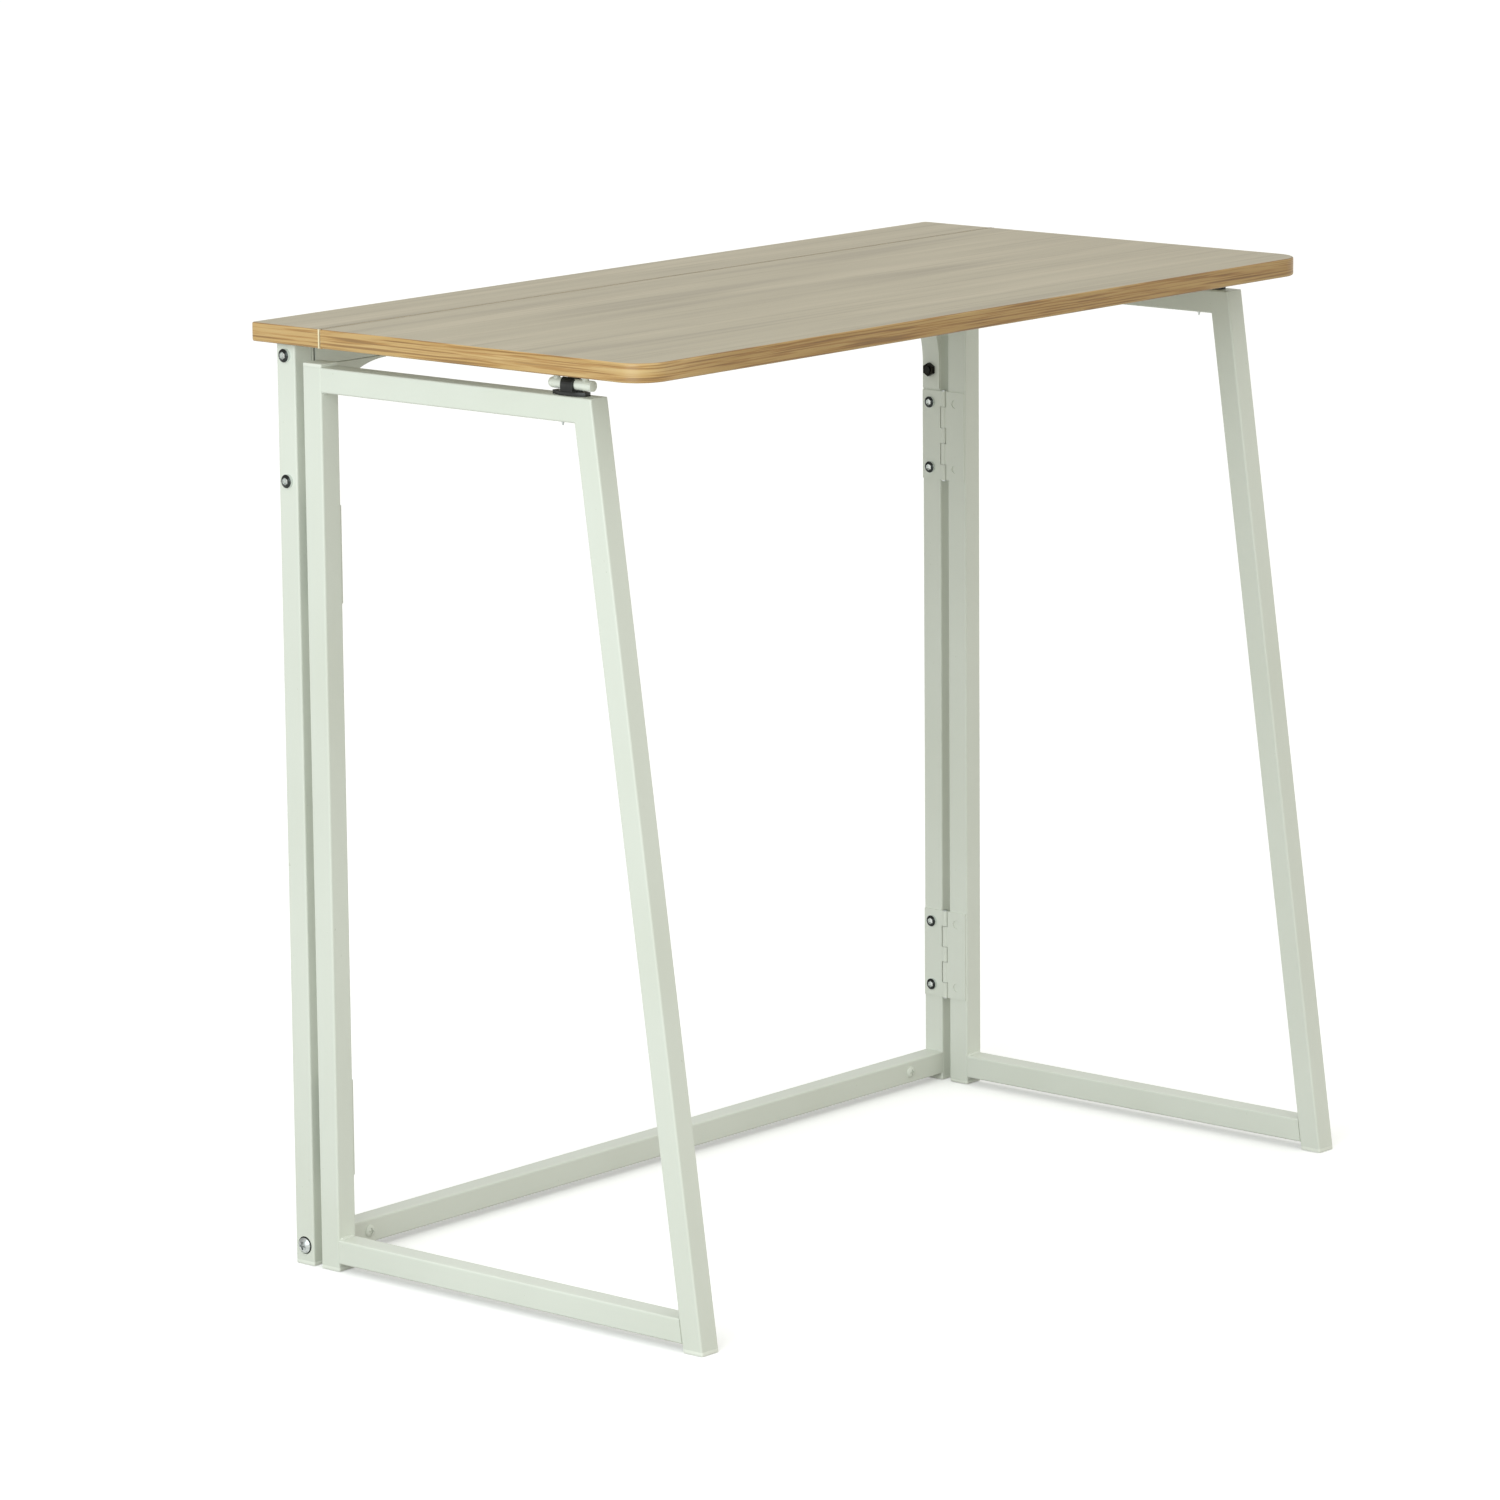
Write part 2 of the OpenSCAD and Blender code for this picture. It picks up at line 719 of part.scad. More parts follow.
// The bottom rail ends on the leg's sloping back face
module gate_bottom_rail() {
  difference() {
    translate([tube_x, stile_front, gate_rail_z + tube / 2]) rotate([90, 0, 0])
      tube_bar(stile_front - foot_y);
    along_leg() translate([-tube, -3 * tube + tube / 2, -tube]) cube([2 * tube, 3 * tube, table_h]);
  }
}

module left_gate_stile() { color(steel_white) in_place() on_left() gate_stile(); }
module left_gate_top_rail() { color(steel_white) in_place() on_left() gate_top_rail(); }
module left_gate_bottom_rail() { color(steel_white) in_place() on_left() gate_bottom_rail(); }
module left_gate_leg() { color(steel_white) in_place() on_left() gate_leg(); }
module right_gate_stile() { color(steel_white) in_place() gate_stile(); }
module right_gate_top_rail() { color(steel_white) in_place() gate_top_rail(); }
module right_gate_bottom_rail() { color(steel_white) in_place() gate_bottom_rail(); }
module right_gate_leg() { color(steel_white) in_place() gate_leg(); }

module stile_foot() { translate([tube_x, stile_y, 0]) foot(0, plug_h); }
module leg_foot() { translate([tube_x, foot_y + leg_w / 2, 0]) foot(lean, plug_h); }
module left_stile_cap() { color(plastic_white) in_place() on_left() stile_cap(); }
module left_stile_foot() { color(plastic_white) in_place() on_left() stile_foot(); }
module left_leg_foot() { color(plastic_white) in_place() on_left() leg_foot(); }
module right_stile_cap() { color(plastic_white) in_place() stile_cap(); }
module right_stile_foot() { color(plastic_white) in_place() stile_foot(); }
module right_leg_foot() { color(plastic_white) in_place() leg_foot(); }

// ---- Latches ------------------------------------------------------------------------------

// Moulded spring clip on a gate's top rail: a base with pointed ends and a C-shaped jaw that
// opens upwards round the striker bar
module clip() {
  half_l = clip_base_l / 2;
  half_w = clip_base_w / 2;
  tip_w = clip_tip_w / 2;
  mouth = striker_d * 0.7;
  jaw_r = striker_d / 2 + 0.1;
  difference() {
    translate([tube_x, clip_y, gate_top]) linear_extrude(clip_base_t)
      polygon([
        [half_w, -clip_jaw_w / 2], [half_w, clip_jaw_w / 2], [tip_w, half_l], [-tip_w, half_l],
        [-half_w, clip_jaw_w / 2], [-half_w, -clip_jaw_w / 2], [-tip_w, -half_l],
        [tip_w, -half_l],
      ]);
    at_clip_screws(gate_top + clip_base_t) flush_hole(small_screw_d, clip_base_t + 1);
    translate([tube_x, clip_y - clip_base_l, striker_z]) rotate([-90, 0, 0])
      cylinder(r = jaw_r, h = 2 * clip_base_l);
  }
  translate([tube_x, clip_y + clip_jaw_w / 2, striker_z]) rotate([90, 0, 0])
    linear_extrude(clip_jaw_w) difference() {
      union() {
        circle(r = jaw_r + clip_wall);
        translate([-jaw_r - clip_wall, -striker_rise + clip_base_t - 1])
          square([2 * (jaw_r + clip_wall), striker_rise - clip_base_t + 1]);
      }
      circle(r = jaw_r);
      translate([-mouth / 2, 0]) square([mouth, striker_d * 2]);
    }
}

module left_clip() { color(nylon_black) in_place() on_left() clip(); }
module right_clip() { color(nylon_black) in_place() clip(); }

// Their points come out below the rail
module clip_screws() {
  at_clip_screws(gate_top + clip_base_t)
    flush_screw(small_screw_d, clip_base_t + tube + 0.5, clip_screw_tip);
}

module left_clip_screws() { color(zinc) in_place() on_left() clip_screws(); }
module right_clip_screws() { color(zinc) in_place() clip_screws(); }

// Moulded striker under the leaf: a round bar on two necks, with a rounded back end
module striker() {
  r = striker_d / 2;
  front = clip_y - striker_l / 2;
  back = clip_y + striker_l / 2;
  difference() {
    union() {
      translate([tube_x, front, striker_z]) rotate([-90, 0, 0])
        cylinder(r = r, h = striker_l - r);
      translate([tube_x, back - r, striker_z]) sphere(r = r);
      for (s = [-1, 1]) {
        translate([tube_x, clip_y + s * neck_pitch, striker_z])
          cylinder(d = neck_d, h = under - striker_z);
      }
    }
    for (s = [-1, 1]) {
      translate([tube_x, clip_y + s * neck_pitch, striker_z - r + striker_counterbore])
        rotate([180, 0, 0]) {
        flush_hole(small_screw_d, gate_drop);
        cylinder(d = small_screw_d * 1.8 + hole_play / 2, h = striker_counterbore + 1);
      }
    }
  }
}

module left_striker() { color(plastic_white) in_place() on_left() striker(); }
module right_striker() { color(plastic_white) in_place() striker(); }

module striker_screws() {
  head_z = striker_z - striker_d / 2 + striker_counterbore;
  length = under + striker_screw_grip - small_screw_tip - head_z;
  color(zinc) in_place() on_both() for (s = [-1, 1]) {
    translate([tube_x, clip_y + s * neck_pitch, head_z])
      rotate([180, 0, 0]) flush_screw(small_screw_d, length, small_screw_tip);
  }
}

// ---- Leaf hinges --------------------------------------------------------------------------

// Lays a hinge leaf, drawn as for the gates, under the seam at x. Its plate reaches to the
// back for side 1 and to the front for side -1
module under_seam(x, side) {
  translate([x, seam_y, leaf_axis_z]) mirror([0, side < 0 ? 1 : 0, 0])
    rotate([0, 90, 0]) children();
}

module at_leaf_screws(x, side) {
  for (s = [-1, 1]) {
    translate([x + s * leaf_screw_pitch, seam_y + side * leaf_screw_y, under - hinge_t])
      rotate([180, 0, 0]) children();
  }
}

module leaf_hinge_holes(x, side) {
  at_leaf_screws(x, side) flush_hole(small_screw_d, small_screw_l + small_screw_tip + 1);
}

module leaf_hinge_half(side, knuckles) {
  for (x = leaf_hinge_x) difference() {
    under_seam(x, side) hinge_leaf(leaf_hinge_w, knuckles, -barrel_d / 2);
    leaf_hinge_holes(x, side);
  }
}

module leaf_hinge_strip_leaves() {
  color(zinc) in_place() leaf_hinge_half(1, [0, 2, 4]);
}

module leaf_hinge_leaf_leaves() {
  color(zinc) in_place() leaf_hinge_half(-1, [1, 3]);
}

module leaf_hinge_pins() {
  color(zinc) in_place() for (x = leaf_hinge_x) {
    translate([x, seam_y, leaf_axis_z]) rotate([0, 90, 0]) hinge_pin(leaf_hinge_w);
  }
}

module leaf_hinge_screws(side) {
  for (x = leaf_hinge_x) {
    at_leaf_screws(x, side) flush_screw(small_screw_d, small_screw_l, small_screw_tip);
  }
}

module leaf_hinge_strip_screws() { color(zinc) in_place() leaf_hinge_screws(1); }
module leaf_hinge_leaf_screws() { color(zinc) in_place() leaf_hinge_screws(-1); }

// ---- Nodes --------------------------------------------------------------------------------

strip_board();
strip_edge_band();
strip_seam_tape();
strip_screws();
left_post();
right_post();
left_post_foot();
right_post_foot();
upper_back_rail();
lower_back_rail();
upper_rail_plugs();
lower_rail_plugs();
left_corner_bracket();
right_corner_bracket();
upper_frame_bolts();
bracket_nuts();
lower_frame_bolts();
lower_bolt_sleeves();
lower_rail_screws();
left_gate_hinge_post_leaves();
right_gate_hinge_post_leaves();
left_gate_hinge_pins();
right_gate_hinge_pins();
left_gate_hinge_screws();
right_gate_hinge_screws();
leaf_hinge_strip_leaves();
leaf_hinge_pins();
leaf_hinge_strip_screws();
left_gate_stile();
left_gate_top_rail();
left_gate_bottom_rail();
left_gate_leg();
left_stile_cap();
left_stile_foot();
left_leg_foot();
left_gate_hinge_gate_leaves();
left_clip();
left_clip_screws();
right_gate_stile();
right_gate_top_rail();
right_gate_bottom_rail();
right_gate_leg();
right_stile_cap();
right_stile_foot();
right_leg_foot();
right_gate_hinge_gate_leaves();
right_clip();
right_clip_screws();
leaf_board();
leaf_edge_band();
leaf_seam_tape();
leaf_hinge_leaf_leaves();
leaf_hinge_leaf_screws();
left_striker();
right_striker();
striker_screws();
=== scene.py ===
# %% [markdown]
# # A folding gateleg table
#
# A narrow desk that folds flat. A back frame of square steel tube carries a fixed strip of
# top. The rest of the top is a leaf that is hinged to the strip, and two gates swing out of
# the back frame to hold the leaf up. The exact steel and board parts come ready made from the
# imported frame. This lesson gives them their finishes, adds the small shapes that a maker's
# hands leave behind, such as weld beads and rounded moulded edges, and lights the result.

import json
import math

import bmesh
import bpy
from mathutils import Matrix, Vector


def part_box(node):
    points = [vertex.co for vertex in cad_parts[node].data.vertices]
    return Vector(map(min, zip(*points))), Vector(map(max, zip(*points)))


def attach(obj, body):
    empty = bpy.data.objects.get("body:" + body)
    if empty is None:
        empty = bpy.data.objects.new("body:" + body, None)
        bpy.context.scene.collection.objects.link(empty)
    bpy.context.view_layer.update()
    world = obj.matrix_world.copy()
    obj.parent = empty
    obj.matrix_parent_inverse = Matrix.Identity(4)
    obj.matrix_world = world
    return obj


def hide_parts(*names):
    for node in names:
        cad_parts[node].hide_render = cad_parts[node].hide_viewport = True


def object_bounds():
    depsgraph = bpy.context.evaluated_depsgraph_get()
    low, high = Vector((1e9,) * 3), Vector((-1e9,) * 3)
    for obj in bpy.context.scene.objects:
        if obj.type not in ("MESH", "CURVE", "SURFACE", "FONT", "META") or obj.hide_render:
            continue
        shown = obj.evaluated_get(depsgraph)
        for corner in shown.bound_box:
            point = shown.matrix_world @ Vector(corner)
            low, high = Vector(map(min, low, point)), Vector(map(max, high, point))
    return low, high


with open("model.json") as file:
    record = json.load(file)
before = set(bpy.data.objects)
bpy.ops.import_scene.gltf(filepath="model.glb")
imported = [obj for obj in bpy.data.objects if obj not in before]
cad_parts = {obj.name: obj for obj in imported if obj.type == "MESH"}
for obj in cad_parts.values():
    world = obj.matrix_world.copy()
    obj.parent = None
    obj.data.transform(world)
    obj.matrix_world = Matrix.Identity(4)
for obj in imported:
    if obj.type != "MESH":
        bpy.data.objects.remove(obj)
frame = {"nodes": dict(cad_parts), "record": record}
cad_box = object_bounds()
nodes = frame["nodes"]
MM = 0.001

print(f"{len(nodes)} parts, box {[round(v, 4) for v in cad_box[1] - cad_box[0]]} m")

# %% [markdown]
# ## Sizes that everything else hangs on
#
# No place is typed in twice. The tube's width, the height of the gates and the lean of the legs
# are all read back from the parts, so that a bead or a cap lands where the steel really is.

# %% Read sizes back from the parts
stile_low, stile_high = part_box("right_gate_stile")
rail_low, rail_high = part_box("right_gate_top_rail")
bottom_low, bottom_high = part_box("right_gate_bottom_rail")
foot_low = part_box("right_leg_foot")[0]

tube = stile_high.x - stile_low.x
gate_top = rail_high.z
stile_front = stile_low.y

print(f"tube {tube / MM:.1f} mm, gate {gate_top / MM:.1f} mm high")

# %% Work out the lean of a leg
lean = math.atan2(rail_low.y - foot_low.y, gate_top)
tube_along_floor = tube / math.cos(lean)


def leg_front(z):
    """Where the front face of a leg stands at height z."""
    return foot_low.y + z * math.tan(lean)


def leg_back(z):
    """Where its back face stands."""
    return leg_front(z) + tube_along_floor


print(f"legs lean {math.degrees(lean):.2f} degrees, front foot at y {foot_low.y / MM:.1f} mm")

# %% [markdown]
# ## Three small tools for finishes
#
# A colour is given as an sRGB hex value, but the renderer adds light in linear values,
# so one function turns the first into the second. Another adds a shader node with its settings,
# its links and, on a colour ramp, its stops. The third gives the stretch of a pattern from real
# sizes: a streak 300 mm long and 12 mm wide is written as those two numbers.


# %% Colour, node and pattern size
def linear(hex_value):
    """An sRGB hex colour as a linear RGBA value."""
    channels = [int(hex_value[i : i + 2], 16) / 255 for i in (1, 3, 5)]
    return [c / 12.92 if c <= 0.04045 else ((c + 0.055) / 1.055) ** 2.4 for c in channels] + [1]


def add(tree, kind, inputs=(), stops=(), **settings):
    """Adds a node. An input is a value, or another node's output to link.

    Stops are the positions and hex colours of a colour ramp, from low to high.
    """
    node = tree.nodes.new(kind)
    for name, value in settings.items():
        setattr(node, name, value)
    for name, value in dict(inputs).items():
        if isinstance(value, bpy.types.NodeSocket):
            tree.links.new(value, node.inputs[name])
        else:
            node.inputs[name].default_value = value
    if stops:
        node.color_ramp.interpolation = "EASE"
        elements = node.color_ramp.elements
        for element, (position, colour) in zip(elements, (stops[0], stops[-1])):
            element.position, element.color = position, linear(colour)
        for position, colour in stops[1:-1]:
            elements.new(position).color = linear(colour)
    return node


def per_mm(x, y, z):
    """Pattern stretch for features of these lengths in millimetres along each axis."""
    return (1000 / x, 1000 / y, 1000 / z)


print("white is", linear("#ffffff"))


# %% Start a material
# The inputs and the output of a colour mix go by number, because their names repeat.
FACTOR, UNDER, OVER, RESULT = 0, 6, 7, 2
MIX = {"data_type": "RGBA", "blend_type": "MIX"}
MULTIPLY = {"data_type": "RGBA", "blend_type": "MULTIPLY"}
PAPER = "#b3a992"
# A dark brown-grey painted on the upper edges of the tapes in the seam, as the shade in the narrow
# gap.
PAINTED_SEAM_SHADE = "#5f5745"


def start_material(name, colour, roughness, metallic=0.0, ior=1.5):
    """A material with constant values on its shader, and its node tree and shader."""
    material = bpy.data.materials.new(name)
    material.use_nodes = True
    tree = material.node_tree
    shader = tree.nodes["Principled BSDF"]
    shader.inputs["Base Color"].default_value = linear(colour)
    shader.inputs["Roughness"].default_value = roughness
    shader.inputs["Metallic"].default_value = metallic
    if not metallic:
        shader.inputs["IOR"].default_value = ior
    return material, tree, shader


def streaks(tree, place, size, detail=3.0, roughness=0.5, distortion=0.0):
    """A noise whose features have this size in millimetres, as a 0 to 1 factor."""
    stretched = add(tree, "ShaderNodeMapping", {"Vector": place, "Scale": per_mm(*size)})
    noise = add(
        tree,
        "ShaderNodeTexNoise",
        {
            "Vector": stretched.outputs["Vector"],
            "Scale": 1.0,
            "Detail": detail,
            "Roughness": roughness,
            "Distortion": distortion,
        },
    )
    return noise.outputs["Fac"]


def facing(tree, axis):
    """How far a surface faces along one of the part's own axes, from -1 to 1."""
    normal = add(tree, "ShaderNodeTexCoord").outputs["Normal"]
    return add(tree, "ShaderNodeSeparateXYZ", {"Vector": normal}).outputs[axis]


def painted_top(tree, paint, top=PAPER):
    """One colour on the faces that look up, and paint on all others."""
    upward = add(
        tree,
        "ShaderNodeValToRGB",
        {"Fac": facing(tree, "Z")},
        stops=[(0.96, "#000000"), (0.99, "#ffffff")],
    ).outputs["Color"]
    mixed = add(
        tree, "ShaderNodeMix", {FACTOR: upward, UNDER: paint, OVER: linear(top)}, **MIX
    )
    return mixed.outputs[RESULT]


print("pattern of 10 mm cells:", per_mm(10, 10, 10))

# %% [markdown]
# ## Greige oak melamine
#
# The top is particle board under printed paper. The paper is soaked in melamine resin and
# pressed hot against a finely etched plate. To the eye it is a calm grey-beige oak: broad soft
# streaks along the length, finer lines between them and short dark pores that you only see from
# close by. The plate leaves a silky surface with the pores slightly sunk.

# %% Make the board's face
laminate, tree, shader = start_material("greige_oak_melamine", PAPER, 0.45)
place = add(tree, "ShaderNodeTexCoord").outputs["Object"]
broad = streaks(tree, place, (420, 26, 26), detail=2.5, distortion=0.35)
lines = streaks(tree, place, (260, 4.2, 4.2), detail=3.0, distortion=0.2)
pores = streaks(tree, place, (16, 0.75, 0.75), detail=2.0)
base = add(
    tree,
    "ShaderNodeValToRGB",
    {"Fac": broad},
    stops=[(0.30, "#a79d88"), (0.50, "#b3a992"), (0.70, "#bcb19a")],
).outputs["Color"]
fine = add(
    tree,
    "ShaderNodeValToRGB",
    {"Fac": lines},
    stops=[(0.30, "#a59c8c"), (0.50, "#ffffff"), (1.0, "#ffffff")],
).outputs["Color"]
pore_mask = add(
    tree,
    "ShaderNodeValToRGB",
    {"Fac": pores},
    stops=[(0.30, "#000000"), (0.36, "#ffffff"), (1.0, "#ffffff")],
).outputs["Color"]
printed = add(
    tree, "ShaderNodeMix", {FACTOR: 0.22, UNDER: base, OVER: fine}, **MULTIPLY
).outputs[RESULT]
printed = add(
    tree, "ShaderNodeMix", {FACTOR: 0.10, UNDER: printed, OVER: pore_mask}, **MULTIPLY
).outputs[RESULT]
tree.links.new(printed, shader.inputs["Base Color"])
bump = add(tree, "ShaderNodeBump", {"Height": pore_mask, "Distance": 0.03 * MM})
tree.links.new(bump.outputs["Normal"], shader.inputs["Normal"])
print("made", laminate.name)

# %% [markdown]
# ## Oak print ABS edge band
#
# The band is a 2 mm extruded ABS strip with a golden oak print, glued round the board with hot
# melt and rounded over with a trimmer. Its grain runs along the strip and turns the corners
# with it, so the pattern follows the distance round the board and the height, and not the
# room's axes. Lines are 1 to 3 mm apart and wander a little. The length round the front is
# made a shade darker than the left end.

# %% Make the edge band
def oak_print(name, top):
    """The printed strip, with this colour on its upper edge."""
    material, tree, shader = start_material(name, "#c89f69", 0.36, ior=1.52)
    point = add(tree, "ShaderNodeTexCoord").outputs["Object"]
    place = add(tree, "ShaderNodeSeparateXYZ", {"Vector": point})
    along = add(
        tree,
        "ShaderNodeMath",
        {0: place.outputs["X"], 1: place.outputs["Y"]},
        operation="SUBTRACT",
    ).outputs["Value"]
    strip = add(tree, "ShaderNodeCombineXYZ", {"X": along, "Z": place.outputs["Z"]})
    strip_place = strip.outputs["Vector"]
    tone = streaks(tree, strip_place, (130, 10, 6), detail=2.0, distortion=0.3)
    grain = streaks(tree, strip_place, (90, 10, 1.3), detail=3.0, distortion=0.25)
    hair = streaks(tree, strip_place, (45, 10, 0.6), detail=2.0)
    base = add(
        tree,
        "ShaderNodeValToRGB",
        {"Fac": tone},
        stops=[(0.30, "#be9a5f"), (0.50, "#c6a46d"), (0.72, "#ceb07a")],
    ).outputs["Color"]
    # The length round the front is made a shade darker than the left end.
    front_share = add(
        tree,
        "ShaderNodeMapRange",
        {"Value": along, "From Min": -0.20, "From Max": -0.12},
        interpolation_type="SMOOTHSTEP",
    ).outputs["Result"]
    darker = add(
        tree, "ShaderNodeMix", {FACTOR: 1.0, UNDER: base, OVER: linear("#e3ddcc")}, **MULTIPLY
    ).outputs[RESULT]
    base = add(
        tree, "ShaderNodeMix", {FACTOR: front_share, UNDER: base, OVER: darker}, **MIX
    ).outputs[RESULT]
    dark = add(
        tree,
        "ShaderNodeValToRGB",
        {"Fac": grain},
        stops=[(0.36, "#8f6c3e"), (0.46, "#d2b284"), (0.53, "#ffffff")],
    ).outputs["Color"]
    printed = add(
        tree, "ShaderNodeMix", {FACTOR: 0.62, UNDER: base, OVER: dark}, **MULTIPLY
    ).outputs[RESULT]
    hair_mask = add(
        tree,
        "ShaderNodeValToRGB",
        {"Fac": hair},
        stops=[(0.30, "#a98a63"), (0.42, "#ffffff"), (1.0, "#ffffff")],
    ).outputs["Color"]
    printed = add(
        tree, "ShaderNodeMix", {FACTOR: 0.35, UNDER: printed, OVER: hair_mask}, **MULTIPLY
    ).outputs[RESULT]
    tree.links.new(painted_top(tree, printed, top), shader.inputs["Base Color"])
    bump = add(tree, "ShaderNodeBump", {"Height": hair_mask, "Distance": 0.02 * MM})
    tree.links.new(bump.outputs["Normal"], shader.inputs["Normal"])
    return material


edge_oak = oak_print("oak_print_abs", PAPER)
# The band in the seam gets the painted seam shade on its upper edge.
seam_oak = oak_print("oak_print_abs_in_the_seam", PAINTED_SEAM_SHADE)
print("made", edge_oak.name, "and", seam_oak.name)

# %% [markdown]
# ## Pale seam tape
#
# The strip's edge in the seam only gets a thin cream tape. Where it meets the oak band at the
# end of the table its cut end shows as one bright upright line. From above, the upper edges of
# the two tapes are painted a dark shade, which with the gap makes one thin line of painted shade.

# %% Make the seam tape
tape, tree, shader = start_material("cream_melamine_tape", "#f0e2bd", 0.5)
mottle = streaks(tree, add(tree, "ShaderNodeTexCoord").outputs["Object"], (14, 14, 14), detail=2.0)
paint = add(
    tree,
    "ShaderNodeValToRGB",
    {"Fac": mottle},
    stops=[(0.3, "#ecdcb4"), (0.7, "#f3e6c4")],
).outputs["Color"]
# The tape's upper edge gets the painted seam shade.
tree.links.new(painted_top(tree, paint, PAINTED_SEAM_SHADE), shader.inputs["Base Color"])
print("made", tape.name)

# %% [markdown]
# ## White powder coat on steel
#
# The frame is cold-rolled mild steel tube, welded, then sprayed with dry polyester powder and
# baked. The coat is thick and satin, it rounds every edge a little, and it has a faint orange
# peel with cells about 2 mm wide. The white has a touch of green-grey in it. Where two tubes
# meet it pools slightly, so the colour varies by a percent or two over a hand's width.

# %% Make the powder coat
powder_coat, tree, shader = start_material("white_powder_coat", "#dbdfd5", 0.36)
place = add(tree, "ShaderNodeTexCoord").outputs["Object"]
pooling = streaks(tree, place, (160, 160, 160), detail=2.0)
speck = streaks(tree, place, (3.0, 3.0, 3.0), detail=3.0)
paint = add(
    tree,
    "ShaderNodeValToRGB",
    {"Fac": pooling},
    stops=[(0.3, "#d8dcd1"), (0.5, "#dbdfd5"), (0.7, "#dee2d8")],
).outputs["Color"]
speck_mask = add(
    tree,
    "ShaderNodeValToRGB",
    {"Fac": speck},
    stops=[(0.20, "#d8d9cf"), (0.27, "#ffffff"), (1.0, "#ffffff")],
).outputs["Color"]
paint = add(
    tree, "ShaderNodeMix", {FACTOR: 0.6, UNDER: paint, OVER: speck_mask}, **MULTIPLY
).outputs[RESULT]
tree.links.new(paint, shader.inputs["Base Color"])
peel = streaks(tree, place, (2.2, 2.2, 2.2), detail=1.5)
bump = add(tree, "ShaderNodeBump", {"Height": peel, "Distance": 0.02 * MM})
tree.links.new(bump.outputs["Normal"], shader.inputs["Normal"])
print("made", powder_coat.name)

# %% [markdown]
# ## Moulded plastics
#
# Feet, stile caps and strikers are injection moulded polyethylene: a little whiter than the
# paint, softer in its gloss, with a fine spark-eroded texture. The clips are black nylon,
# which is stiff, springy and slightly shinier.

# %% Make the two plastics
white_plastic, tree, shader = start_material("moulded_white_polyethylene", "#e6e9df", 0.46)
place = add(tree, "ShaderNodeTexCoord").outputs["Object"]
flow = add(
    tree,
    "ShaderNodeValToRGB",
    {"Fac": streaks(tree, place, (24, 24, 24))},
    stops=[(0.3, "#e3e6dc"), (0.7, "#e9ece2")],
).outputs["Color"]
tree.links.new(flow, shader.inputs["Base Color"])
spark = streaks(tree, place, (0.7, 0.7, 0.7), detail=1.0)
bump = add(tree, "ShaderNodeBump", {"Height": spark, "Distance": 0.012 * MM})
tree.links.new(bump.outputs["Normal"], shader.inputs["Normal"])

black_nylon, tree, shader = start_material("moulded_black_nylon", "#141514", 0.34, ior=1.53)
place = add(tree, "ShaderNodeTexCoord").outputs["Object"]
flow = add(
    tree,
    "ShaderNodeValToRGB",
    {"Fac": streaks(tree, place, (9, 9, 9))},
    stops=[(0.3, "#101110"), (0.7, "#1a1b1a")],
).outputs["Color"]
tree.links.new(flow, shader.inputs["Base Color"])
spark = streaks(tree, place, (0.6, 0.6, 0.6), detail=1.0)
bump = add(tree, "ShaderNodeBump", {"Height": spark, "Distance": 0.012 * MM})
tree.links.new(bump.outputs["Normal"], shader.inputs["Normal"])
print("made", white_plastic.name, "and", black_nylon.name)

# %% [markdown]
# ## Plated screws
#
# Hidden hardware and the bolts at the foot of each post are bright zinc: a bluish steel grey
# with soft crystal mottling. The socket head bolts higher up are black nickel, and their colour
# holds a painted reflection: nearly black on the slopes of the head, bright on the flat crown and
# the socket, and light on the side wall, picked by the way the surface faces along the bolt's own
# axis, which is the X axis for all of them. The two nuts on the corner brackets are black zinc,
# which is darker and duller, and the bolt ends that stand out of them are left out of the painted
# reflection, so they stay black too.

# %% Make the platings
HINGE_SCREWS = ("left_gate_hinge_screws", "right_gate_hinge_screws")
zinc, tree, shader = start_material("bright_zinc_plate", "#b9bcbb", 0.30, metallic=1.0)
place = add(tree, "ShaderNodeTexCoord").outputs["Object"]
crystals = add(
    tree,
    "ShaderNodeTexVoronoi",
    {"Vector": place, "Scale": 1000 / 2.5},
    feature="SMOOTH_F1",
)
mottle = add(
    tree,
    "ShaderNodeValToRGB",
    {"Fac": crystals.outputs["Distance"]},
    stops=[(0.1, "#a8acac"), (0.7, "#c6c9c7")],
).outputs["Color"]
tree.links.new(mottle, shader.inputs["Base Color"])
grit = streaks(tree, place, (0.8, 0.8, 0.8), detail=1.0)
bump = add(tree, "ShaderNodeBump", {"Height": grit, "Distance": 0.01 * MM})
tree.links.new(bump.outputs["Normal"], shader.inputs["Normal"])

BOLT_END_X = min(abs(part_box(name)[i].x) for name in HINGE_SCREWS for i in (0, 1)) - 0.5 * MM
black_nickel, tree, shader = start_material("black_nickel_plate", "#3a3d3b", 0.22, metallic=1.0)
along_axis = add(tree, "ShaderNodeMath", {0: facing(tree, "X")}, operation="ABSOLUTE")
# Painted reflection: light side wall, dark slopes, and a bright crown and socket, by how far the
# face turns along X.
painted_reflection = add(
    tree,
    "ShaderNodeValToRGB",
    {"Fac": along_axis.outputs["Value"]},
    stops=[
        (0.0, "#d8dcda"),
        (0.10, "#d8dcda"),
        (0.25, "#3a3d3b"),
        (0.962, "#343735"),
        (0.985, "#cdd0cd"),
    ],
).outputs["Color"]
point = add(tree, "ShaderNodeTexCoord").outputs["Object"]
sideways = add(tree, "ShaderNodeSeparateXYZ", {"Vector": point}).outputs["X"]
from_middle = add(tree, "ShaderNodeMath", {0: sideways}, operation="ABSOLUTE").outputs["Value"]
shank_end = add(
    tree,
    "ShaderNodeMapRange",
    {"Value": from_middle, "From Min": BOLT_END_X, "From Max": BOLT_END_X + 0.5 * MM},
).outputs["Result"]
